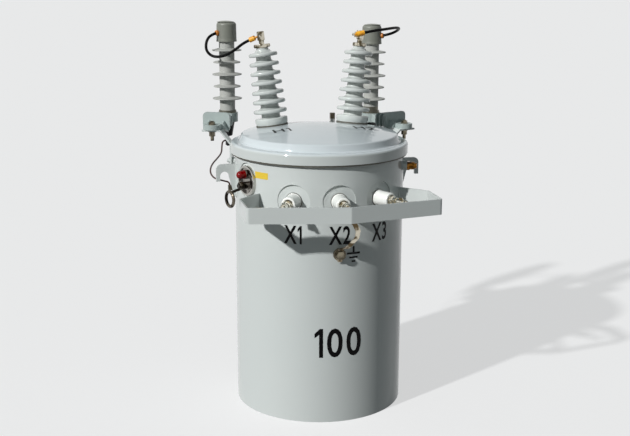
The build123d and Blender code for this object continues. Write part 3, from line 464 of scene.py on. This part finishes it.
def bar_mesh(bars):
    """Flat bars, each given by its left, bottom, right and top."""
    shape = bmesh.new()
    for left, bottom, right, top in bars:
        place = Matrix.Translation(((left + right) / 2, (bottom + top) / 2, 0))
        size = Matrix.Diagonal((right - left, top - bottom, 1.0, 1.0))
        bmesh.ops.create_grid(shape, x_segments=1, y_segments=1, size=0.5, matrix=place @ size)
    mesh = bpy.data.meshes.new("bars")
    shape.to_mesh(mesh)
    shape.free()
    return mesh


def wrap_on_tank(name, mesh, angle, height, finish=mark_black):
    """Cuts a flat mark into narrow strips and lays it round the tank at that angle from the front."""
    shape = bmesh.new()
    shape.from_mesh(mesh)
    low = min(v.co.x for v in shape.verts)
    high = max(v.co.x for v in shape.verts)
    strips = math.ceil((high - low) / mark_step)
    for strip in range(1, strips):
        everything = shape.verts[:] + shape.edges[:] + shape.faces[:]
        cut = low + (high - low) * strip / strips
        bmesh.ops.bisect_plane(shape, geom=everything, plane_co=(cut, 0, 0), plane_no=(1, 0, 0))
    for vertex in shape.verts:
        turn = math.radians(angle) + vertex.co.x / tank_radius
        out = tank_radius + mark_lift
        vertex.co = Vector((out * math.sin(turn), -out * math.cos(turn), height + vertex.co.y))
    bmesh.ops.recalc_face_normals(shape, faces=shape.faces[:])
    shape.to_mesh(mesh)
    shape.free()
    return add_piece(name, mesh, finish)


def lay_on_lid(name, mesh, x, y):
    """Lays a flat mark on the lid's dome, its foot towards the front."""
    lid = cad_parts["lid"]
    shape = bmesh.new()
    shape.from_mesh(mesh)
    for vertex in shape.verts:
        above = Vector((x + vertex.co.x, y + vertex.co.y, above_lid))
        _, place, normal, _ = lid.ray_cast(above, Vector((0.0, 0.0, -1.0)))
        vertex.co = place + normal * mark_lift
    shape.to_mesh(mesh)
    shape.free()
    return add_piece(name, mesh, mark_black)


mark_height = 0.064
for number, angle, foot in ((1, -30.3, 0.649), (2, 0.3, 0.648), (3, 30.2, 0.645)):
    terminal_mark = text_mesh(f"X{number}", mark_height, width_share=0.66, weight=0.020, gap=0.05)
    wrap_on_tank(f"terminal_mark_x{number}", terminal_mark, angle, foot)

lid_mark_height = 0.053
lid_mark_y = -0.075
for number, x in ((1, -0.147), (2, 0.154)):
    lid_mark = text_mesh(f"H{number}", lid_mark_height, width_share=0.86, weight=0.012, gap=0.16)
    lay_on_lid(f"lid_mark_h{number}", lid_mark, x, lid_mark_y)

numeral_height = 0.106
numeral_foot = 0.242
size_numerals = text_mesh("100", numeral_height, width_share=0.82, weight=0.014, gap=0.13)
wrap_on_tank("size_numerals", size_numerals, 0.0, numeral_foot)

label_yellow = Finish("label_yellow", (226, 190, 52), roughness=0.34)
label_yellow.two_tone(label_yellow.noise(320.0, detail=3.0), (214, 176, 40), (232, 202, 74))
label_width = 0.060
label_height = 0.023
label_angle = -53.8
label_foot = 0.8625
blank_label = bar_mesh([(-label_width / 2, 0.0, label_width / 2, label_height)])
wrap_on_tank("blank_label", blank_label, label_angle, label_foot, label_yellow)

ground_sign_angle = 9.7
ground_sign_foot = 0.582
ground_sign = bar_mesh([
    (-0.0035, 0.036, 0.0035, 0.057),
    (-0.0245, 0.029, 0.0245, 0.036),
    (-0.0160, 0.015, 0.0160, 0.021),
    (-0.0070, 0.001, 0.0070, 0.007),
])
wrap_on_tank("ground_sign", ground_sign, ground_sign_angle, ground_sign_foot)


# High-voltage bushings
# Turned porcelain with seven sheds under a light grey glaze, clamped through a rubber gasket, each
# with a nickel plated head, a stud and an eye connector that takes the lead's yellow sleeve.
def rounded(corners, steps=5):
    """An outline through corners given as radius, height, and how far back the rounding starts."""
    outline = []
    for index, (radius, height, start) in enumerate(corners):
        corner = Vector((radius, height))
        if not start:
            outline.append(corner)
            continue
        before = Vector(corners[index - 1][:2])
        after = Vector(corners[(index + 1) % len(corners)][:2])
        first = corner + (before - corner).normalized() * start
        last = corner + (after - corner).normalized() * start
        for step in range(steps + 1):
            share = step / steps
            outline.append(first * (1 - share) ** 2 + corner * 2 * share * (1 - share) + last * share ** 2)
    return outline


merge_distance = 0.00002


def turned_shape(outline, place, steps=72, ring=False):
    """A shape turned on a lathe from an outline, with its axis along the place's z."""
    shape = bmesh.new()
    knots = [shape.verts.new((point.x, 0.0, point.y)) for point in outline]
    edges = [shape.edges.new(pair) for pair in zip(knots, knots[1:])]
    if ring:
        edges.append(shape.edges.new((knots[-1], knots[0])))
    bmesh.ops.spin(shape, geom=knots + edges, cent=(0, 0, 0), axis=(0, 0, 1), dvec=(0, 0, 0),
                   angle=2 * math.pi, steps=steps, use_merge=True)
    bmesh.ops.remove_doubles(shape, verts=shape.verts[:], dist=merge_distance)
    bmesh.ops.recalc_face_normals(shape, faces=shape.faces[:])
    for face in shape.faces:
        face.smooth = True
    bmesh.ops.transform(shape, matrix=place, verts=shape.verts[:])
    return shape


def joined(name, shapes):
    """One mesh of several shapes."""
    whole = bmesh.new()
    mesh = bpy.data.meshes.new(name)
    for shape in shapes:
        shape.to_mesh(mesh)
        whole.from_mesh(mesh)
        shape.free()
    whole.to_mesh(mesh)
    whole.free()
    return mesh


def turned(name, outline, place, finish, steps=72, ring=False):
    """A piece turned on a lathe from an outline."""
    return add_piece(name, joined(name, [turned_shape(outline, place, steps, ring)]), finish)


def axis_place(origin, axis):
    """A place at a point with its z along an axis."""
    return Matrix.Translation(origin) @ axis.to_track_quat("Z", "Y").to_matrix().to_4x4()


hv_glaze = Finish("hv_porcelain", (206, 211, 207), roughness=0.12, coat=0.2)
hv_glaze.set("Specular IOR Level", 0.34)
hv_glaze.two_tone(hv_glaze.noise(28.0, detail=3.0), (188, 193, 190), (202, 206, 202))
hv_glaze.set("Roughness", 0.05 + hv_glaze.noise(60.0, detail=3.0) * 0.09)
hv_glaze.relief(hv_glaze.noise(110.0, detail=2.0), depth=0.0006, strength=0.20)

hv_turn = math.radians(126.8)
hv_seat_reach = 0.189
dome_radius = 1.390
dome_apex = 1.017
hv_gasket_thickness = 0.003
hv_flange_radius = 0.0600
hv_flange_foot = 0.0565
hv_flange_edge = 0.012
hv_flange_height = 0.026
hv_shank_radius = 0.0325
hv_shank_length = 0.110
hv_core_low = 0.0345
hv_core_high = 0.0265
hv_body_top = 0.271
hv_head_radius = 0.022
hv_head_top = 0.281
hv_shed_count = 7
hv_shed_first = 0.050
hv_shed_pitch = 0.0342
hv_shed_low = 0.0615
hv_shed_high = 0.0525
hv_rim_half = 0.0070
hv_rim_round = 0.0062
hv_rim_slant = 0.0004
hv_slope_reach = 0.007
hv_slope_rise = 0.0026
hv_slope_end = 0.0066
hv_throat_round = 0.003


def hv_core(height):
    """The radius of the core between the sheds, which tapers from the flange to the head."""
    share = (height - hv_flange_height) / (hv_body_top - hv_flange_height)
    return hv_core_low + (hv_core_high - hv_core_low) * share


hv_corners = [
    (0.0, -hv_shank_length, 0), (hv_shank_radius, -hv_shank_length, 0), (hv_shank_radius, 0.0, 0),
    (hv_flange_foot, 0.0, 0.0015), (hv_flange_radius, hv_flange_edge, 0.004),
    (hv_flange_radius, hv_flange_height, 0.006),
    (hv_core(hv_flange_height), hv_flange_height, hv_throat_round),
]
for shed in range(hv_shed_count):
    middle = hv_shed_first + shed * hv_shed_pitch
    reach = hv_shed_low + (hv_shed_high - hv_shed_low) * shed / (hv_shed_count - 1)
    under = middle - hv_rim_half
    over = middle + hv_rim_half
    hv_corners += [
        (hv_core(under), under, 0.0025),
        (reach, under, hv_rim_round),
        (reach, over - hv_rim_slant, hv_rim_round),
        (hv_core(over) + hv_slope_reach, over + hv_slope_rise, hv_throat_round),
        (hv_core(over), over + hv_slope_end, hv_throat_round),
    ]
hv_corners += [
    (hv_core_high, hv_body_top, 0.002), (hv_head_radius, hv_body_top, 0.001),
    (hv_head_radius, hv_head_top, 0.003), (0.0, hv_head_top, 0),
]
hv_tilt = math.asin(hv_seat_reach / dome_radius)
hv_seat_height = dome_apex - dome_radius * (1 - math.cos(hv_tilt))
for side, sign in sides:
    outwards = Vector((sign * math.sin(hv_turn), -math.cos(hv_turn), 0.0))
    hv_axis = outwards * math.sin(hv_tilt) + Vector((0.0, 0.0, math.cos(hv_tilt)))
    foot = outwards * hv_seat_reach + Vector((0.0, 0.0, hv_seat_height)) + hv_axis * hv_gasket_thickness
    porcelain = turned("hv_porcelain_" + side, rounded(hv_corners), axis_place(foot, hv_axis),
                       hv_glaze)
    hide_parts("hv_bushing_" + side)

nickel = Finish("terminal_metal", (206, 200, 184), roughness=0.22, metallic=1.0)
nickel_stain = nickel.noise(48.0, detail=3.0).above(0.44, 0.60)
nickel.stain(nickel_stain, (92, 84, 66))
nickel.set("Roughness", 0.16 + nickel_stain * 0.2)
nickel.relief(nickel.noise(600.0, detail=3.0), grain_depth, strength=0.25)
dress(nickel, "hv_terminal_left", "hv_terminal_right")

sleeve_yellow = Finish("sleeve_plastic", (238, 172, 40), roughness=0.40)
sleeve_yellow.set("Roughness", 0.34 + sleeve_yellow.noise(200.0, detail=3.0) * 0.2)
sleeve_yellow.two_tone(
    sleeve_yellow.noise(90.0, detail=3.0).above(0.36, 0.62), (206, 132, 24), (246, 180, 44))
sleeve_yellow.relief(sleeve_yellow.noise(260.0, detail=2.0), depth=0.0008, strength=0.5)
dress(sleeve_yellow, "hv_lead_end_left", "hv_lead_end_right")

# Surge arresters
# Grey silicone rubber moulded over a stack of varistors. A domed cap on the upper end has a rubber
# grommet for the lead, and a black disconnector hangs below. A galvanised bolt holds the moulded
# bracket to the steel strap.
silicone = Finish("arrester_polymer", (172, 173, 169), roughness=0.52)
silicone_dust = silicone.noise(26.0, detail=5.0, roughness=0.6)
silicone.set("Roughness", 0.46 + silicone_dust * 0.16)
silicone.relief(silicone.noise(500.0, detail=3.0), grain_depth, strength=0.2)
arrester_foot_top = 1.0372
arrester_foot_band = silicone.height().above(arrester_foot_top, arrester_foot_top + finish_edge)
silicone_tone = silicone.mix(silicone_dust, linear((160, 162, 157)), linear((184, 184, 179)))
silicone.set("Base Color", silicone.mix(arrester_foot_band, linear((106, 104, 95)), silicone_tone))
silicone.set("Metallic", 1.0 - arrester_foot_band)
dress(silicone, "arrester_left", "arrester_right")

cap_plastic = Finish("arrester_cap_plastic", (122, 124, 115), roughness=0.42)
cap_plastic.set("Roughness", 0.36 + cap_plastic.noise(80.0, detail=4.0) * 0.2)
cap_plastic.relief(cap_plastic.noise(900.0, detail=3.0), grain_depth, strength=0.25)
dress(cap_plastic, "arrester_cap_left", "arrester_cap_right")

cap_crown_radius = 0.0330
cap_crown_rise = 0.0040
cap_crown_sink = 0.0005
cap_crown_steps = 6
cap_crown = [Vector((0.0, -cap_crown_sink)), Vector((cap_crown_radius, -cap_crown_sink))]
for step in range(cap_crown_steps + 1):
    crown_share = 1 - step / cap_crown_steps
    cap_crown.append(Vector((cap_crown_radius * crown_share, cap_crown_rise * (1 - crown_share ** 2))))
for side in ("left", "right"):
    low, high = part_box("arrester_cap_" + side)
    crown_place = Matrix.Translation(((low[0] + high[0]) / 2, (low[1] + high[1]) / 2, high[2]))
    turned("cap_crown_" + side, cap_crown, crown_place, cap_plastic,
           steps=48)

grommet_rubber = Finish("grommet_rubber", (186, 108, 34), roughness=0.46)
grommet_rubber.two_tone(grommet_rubber.noise(240.0, detail=3.0), (150, 82, 24), (214, 134, 50))
grommet_corners = [
    (0.0086, -0.0075, 0), (0.0104, -0.0075, 0.0008), (0.0104, 0.0000, 0.0022), (0.0070, 0.0022, 0.0008),
    (0.0054, 0.0022, 0.0004), (0.0054, 0.0004, 0), (0.0086, 0.0004, 0),
]
for side, mouth, next_point in (
    ("left", left_lead_points[0], left_lead_points[1]),
    ("right", right_lead_points[-1], right_lead_points[-2]),
):
    grommet_place = axis_place(Vector(mouth), Vector(next_point) - Vector(mouth))
    turned("cap_grommet_" + side, rounded(grommet_corners), grommet_place, grommet_rubber,
           steps=40, ring=True)

bracket_plastic = Finish("bracket_plastic", (164, 175, 172), roughness=0.40)
bracket_plastic.two_tone(bracket_plastic.noise(40.0, detail=4.0), (156, 168, 166), (172, 182, 178))
bracket_plastic.relief(bracket_plastic.noise(700.0, detail=3.0), depth=0.0004, strength=0.3)
dress(bracket_plastic, "arrester_bracket_left", "arrester_bracket_right")

black_plastic = Finish("disconnector_plastic", (18, 18, 19), roughness=0.42)
black_plastic.relief(black_plastic.noise(700.0, detail=3.0), grain_depth, strength=0.3)
dress(black_plastic, "disconnector_left", "disconnector_right")

zinc = Finish("zinc_steel", (140, 132, 120), roughness=0.30, metallic=1.0)
zinc_spangle = zinc.noise(46.0, detail=3.0).above(0.30, 0.70)
zinc.two_tone(zinc_spangle, (66, 61, 52), (138, 131, 114))
zinc.set("Roughness", 0.16 + zinc_spangle * 0.16)
dress(zinc, "strap_bolt_left", "strap_bolt_right", "ground_bolt", "ground_wire_clamp")

# Low-voltage bushings
# Short white porcelain sleeves with a rounded rim and a rubber ring under their foot, held against
# the discs of the tank's wall by a stud that carries a nut and a clamp connector.
lv_glaze = Finish("lv_porcelain", (240, 241, 236), roughness=0.14, coat=0.4)
lv_glaze.two_tone(lv_glaze.noise(45.0, detail=3.0), (236, 237, 231), (245, 246, 242))
lv_glaze.relief(lv_glaze.noise(130.0, detail=2.0), depth=0.0005, strength=0.2)
dress(lv_glaze, "lv_bushing_1", "lv_bushing_2", "lv_bushing_3")

lv_height = 0.7965
lv_disc_face = 0.2975
lv_ring_corners = [(0.0281, 0.0, 0), (0.0297, 0.0, 0.0006), (0.0297, 0.0026, 0.0008), (0.0281, 0.0026, 0)]
for number, angle in ((1, -30.0), (2, 0.0), (3, 30.0)):
    out = Vector((math.sin(math.radians(angle)), -math.cos(math.radians(angle)), 0.0))
    seat = out * lv_disc_face + Vector((0.0, 0.0, lv_height))
    turned(f"lv_foot_ring_{number}", rounded(lv_ring_corners), axis_place(seat, out),
           gasket_rubber, steps=48, ring=True)

tinned_copper = Finish("tinned_copper", (206, 198, 180), roughness=0.28, metallic=1.0)
tinned_stain = tinned_copper.noise(34.0, detail=2.0).above(0.42, 0.56)
tinned_copper.stain(tinned_stain, (98, 84, 62))
tinned_copper.set("Roughness", 0.26 + tinned_stain * 0.2)
dress(tinned_copper, "ground_strap")

connector_tin = Finish("connector_tin", (244, 240, 228), roughness=0.18, metallic=1.0)
connector_grime = connector_tin.noise(46.0, detail=3.0).above(0.52, 0.64)
connector_tin.stain(connector_grime, (150, 136, 104))
connector_tin.set("Roughness", 0.14 + connector_grime * 0.2)
dress(connector_tin, "lv_terminal_1", "lv_terminal_2", "lv_terminal_3")

# Relief valve
# A brass body that is screwed into a steel coupling, which is welded to the tank and painted with it.
# The brass is tarnished.
valve_brass = Finish("valve_brass", (122, 84, 38), roughness=0.16, metallic=1.0)
valve_brass.stain(valve_brass.noise(50.0, detail=3.0).above(0.36, 0.56), (42, 28, 14))
dress(valve_brass, "relief_valve")

# Breaker fitting
# A chromed plate with a red signal lamp in a metal bezel. Below the lamp a steel hub turns on a shaft,
# with an arm and a ring that a hooked stick pulls.
fitting_degrees = -69.0
fitting_angle = math.radians(fitting_degrees)
fitting_reach = 0.299
fitting_height = 0.845
fitting_out = Vector((math.sin(fitting_angle), -math.cos(fitting_angle), 0.0))
fitting_right = Vector((math.cos(fitting_angle), math.sin(fitting_angle), 0.0))

plate_lift = 0.006
plate_middle = on_wall(fitting_degrees, fitting_height, plate_lift)
plate_rim_start = 0.0452
chrome = Finish("fitting_chrome", (186, 184, 178), roughness=0.10, metallic=1.0)
chrome_haze = chrome.noise(120.0, detail=4.0, roughness=0.6).above(0.5, 0.8)
# Inside its rim the plate's colour is painted with upright dark and grey streaks: painted reflections of
# dark surroundings on the chrome. The rim keeps the plain chrome colour.
plate_reach = chrome.place.from_point(plate_middle)
plate_rim = plate_reach.above(plate_rim_start, plate_rim_start + finish_edge)
plate_reflection_streaks = chrome.noise(26.0, detail=3.0, place=chrome.stretched(1.0, 1.0, 0.25)).above(0.44, 0.56)
plate_painted_reflection = chrome.mix(plate_reflection_streaks, linear((48, 44, 40)), linear((150, 146, 140)))
chrome.set("Base Color", chrome.mix(plate_rim, plate_painted_reflection, chrome.colour))
chrome.set("Roughness", 0.08 + chrome_haze * 0.16)
dress(chrome, "breaker_plate")

handle_steel = Finish("handle_steel", (84, 78, 70), roughness=0.16, metallic=1.0)
handle_wear = handle_steel.noise(42.0, detail=3.0).above(0.44, 0.60)
handle_steel.two_tone(handle_wear, (36, 32, 28), (112, 105, 94))
handle_steel.set("Roughness", 0.10 + handle_wear * 0.12)

shaft_right = 0.009
shaft_up = -0.014
handle_lean = math.radians(-18.0)
hub_radius = 0.013
hub_bore = 0.0071
hub_start = 0.023
hub_end = 0.043
loop_bar = 0.0057
loop_radius = 0.0260
loop_drop = 0.048
loop_out = 0.071
loop_steps = 16
arm_radius = 0.0050
arm_bite = 0.001
arm_past_ring = 0.004

shaft_foot = (fitting_out * fitting_reach + fitting_right * shaft_right
              + Vector((0.0, 0.0, fitting_height + shaft_up)))
shaft_place = Matrix.Translation(shaft_foot) @ Matrix((
    (fitting_right.x, 0.0, fitting_out.x, 0.0),
    (fitting_right.y, 0.0, fitting_out.y, 0.0),
    (0.0, 1.0, 0.0, 0.0),
    (0.0, 0.0, 0.0, 1.0),
)) @ Matrix.Rotation(handle_lean, 4, "Z")
hub_corners = [(hub_bore, hub_start, 0), (hub_radius, hub_start, 0.002), (hub_radius, hub_end, 0.002),
               (hub_bore, hub_end, 0)]
loop_outline = []
for step in range(loop_steps):
    around = 2 * math.pi * step / loop_steps
    loop_outline.append(Vector((loop_radius + loop_bar * math.cos(around), loop_bar * math.sin(around))))
arm_foot = Vector((0.0, arm_bite - hub_radius, (hub_start + hub_end) / 2))
arm_reach = Vector((0.0, loop_radius - loop_drop, loop_out)) - arm_foot
arm_length = arm_reach.length + arm_past_ring
arm_corners = [(0.0, 0.0, 0), (arm_radius, 0.0, 0), (arm_radius, arm_length, 0.003), (0.0, arm_length, 0)]
loop_place = Matrix.Translation((0.0, -loop_drop, loop_out))
handle_mesh = joined("breaker_loop", [
    turned_shape(rounded(hub_corners), shaft_place, steps=48, ring=True),
    turned_shape(rounded(arm_corners), shaft_place @ axis_place(arm_foot, arm_reach), steps=24),
    turned_shape(loop_outline, shaft_place @ loop_place, steps=56, ring=True),
])
breaker_loop = add_piece("breaker_loop", handle_mesh, handle_steel, "breaker_handle")
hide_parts("breaker_handle")

lamp_red = Finish("lamp_lens", (150, 8, 12), roughness=0.10, coat=0.1)
lamp_red.set("Specular IOR Level", 0.15)
lamp_bezel_end = 0.3205
lamp_bezel_edge = 0.0006
lamp_reach = lamp_red.place.along(fitting_out)
lamp_glass = lamp_reach.above(lamp_bezel_end, lamp_bezel_end + lamp_bezel_edge)
lamp_tone = lamp_red.mix(lamp_red.noise(60.0, detail=2.0), linear((104, 3, 7)), linear((146, 9, 13)))
lamp_red.set("Base Color", lamp_red.mix(lamp_glass, linear((120, 114, 106)), lamp_tone))
lamp_red.set("Metallic", 1.0 - lamp_glass)
dress(lamp_red, "breaker_lamp")

# Floor and light
# A pale floor and backdrop, a low sun from the left, and a soft, faintly blue fill from all round that
# is stronger on the sun's side. The eye and every gloss see the pale tones, and soft light sees dim ones.
backdrop_tone = 0.812
sky_bright = 0.22
sky_dim = 0.07
sky_tint = (0.86, 1.0, 1.05)
sky_blend_end = 0.9
floor_radius = 60.0
floor_unseen_tone = 0.12
floor_seen_tone = 0.30
floor_glow = 0.595
sun_strength = 3.3
sun_width = math.radians(2.0)
sun_turn = math.radians(-59.5)
sun_height = math.radians(31.6)

sun_data = bpy.data.lights.new("sun", "SUN")
sun_data.energy = sun_strength
sun_data.angle = sun_width
sun = bpy.data.objects.new("sun", sun_data)
sun_source = Vector((
    math.sin(sun_turn) * math.cos(sun_height),
    -math.cos(sun_turn) * math.cos(sun_height),
    math.sin(sun_height),
))
sun.rotation_euler = sun_source.to_track_quat("Z", "Y").to_euler()
bpy.context.scene.collection.objects.link(sun)


def grey(tone):
    """A grey as the shader's colour."""
    return (tone, tone, tone, 1.0)


def seen_by_eye(tree):
    """1 for what the camera sees straight, in a gloss or through glass, 0 for soft light."""
    rays = tree.nodes.new("ShaderNodeLightPath").outputs
    seen = Signal(tree, rays["Is Camera Ray"])
    for kind in ("Is Glossy Ray", "Is Transmission Ray"):
        seen = seen.maths("MAXIMUM", seen, Signal(tree, rays[kind]))
    return seen


world = bpy.data.worlds.new("studio")
bpy.context.scene.world = world
world.use_nodes = True
world_start = Signal(world.node_tree)
seen_plainly = seen_by_eye(world.node_tree)
sky_way = world_start.node("ShaderNodeTexCoord", {}, {}, "Generated")
sky_share = sky_way.along(sun_source).above(-sky_blend_end, sky_blend_end)
sky_colour = world_start.node(
    "ShaderNodeMix", {"data_type": "RGBA"},
    {0: sky_share, 6: (*(sky_dim * tint for tint in sky_tint), 1.0),
     7: (*(sky_bright * tint for tint in sky_tint), 1.0)}, 2,
)
world_colour = world_start.node(
    "ShaderNodeMix", {"data_type": "RGBA"},
    {0: seen_plainly, 6: sky_colour, 7: grey(backdrop_tone)}, 2,
)
world.node_tree.links.new(world_colour.output, world.node_tree.nodes["Background"].inputs["Color"])

floor_shape = bmesh.new()
bmesh.ops.create_circle(floor_shape, cap_ends=True, segments=64, radius=floor_radius)
floor_mesh = bpy.data.meshes.new("floor")
floor_shape.to_mesh(floor_mesh)
floor_shape.free()
floor = bpy.data.objects.new("floor", floor_mesh)
bpy.context.scene.collection.objects.link(floor)
floor_finish = bpy.data.materials.new("floor")
floor_finish.use_nodes = True
floor_tree = floor_finish.node_tree
floor_start = Signal(floor_tree)
floor_seen = seen_by_eye(floor_tree)
floor_shader = floor_tree.nodes["Principled BSDF"]
floor_shader.inputs["Roughness"].default_value = 1.0
floor_shader.inputs["Specular IOR Level"].default_value = 0.0
floor_tree.links.new(
    floor_start.node(
        "ShaderNodeMix", {"data_type": "RGBA"},
        {0: floor_seen, 6: grey(floor_unseen_tone), 7: grey(floor_seen_tone)}, 2,
    ).output,
    floor_shader.inputs["Base Color"],
)
floor_tree.links.new(
    floor_start.node(
        "ShaderNodeMix", {"data_type": "RGBA"},
        {0: floor_seen, 6: grey(0.0), 7: grey(floor_glow)}, 2,
    ).output,
    floor_shader.inputs["Emission Color"],
)
floor_shader.inputs["Emission Strength"].default_value = 1.0
floor_mesh.materials.append(floor_finish)

bpy.context.scene.view_settings.view_transform = "Standard"
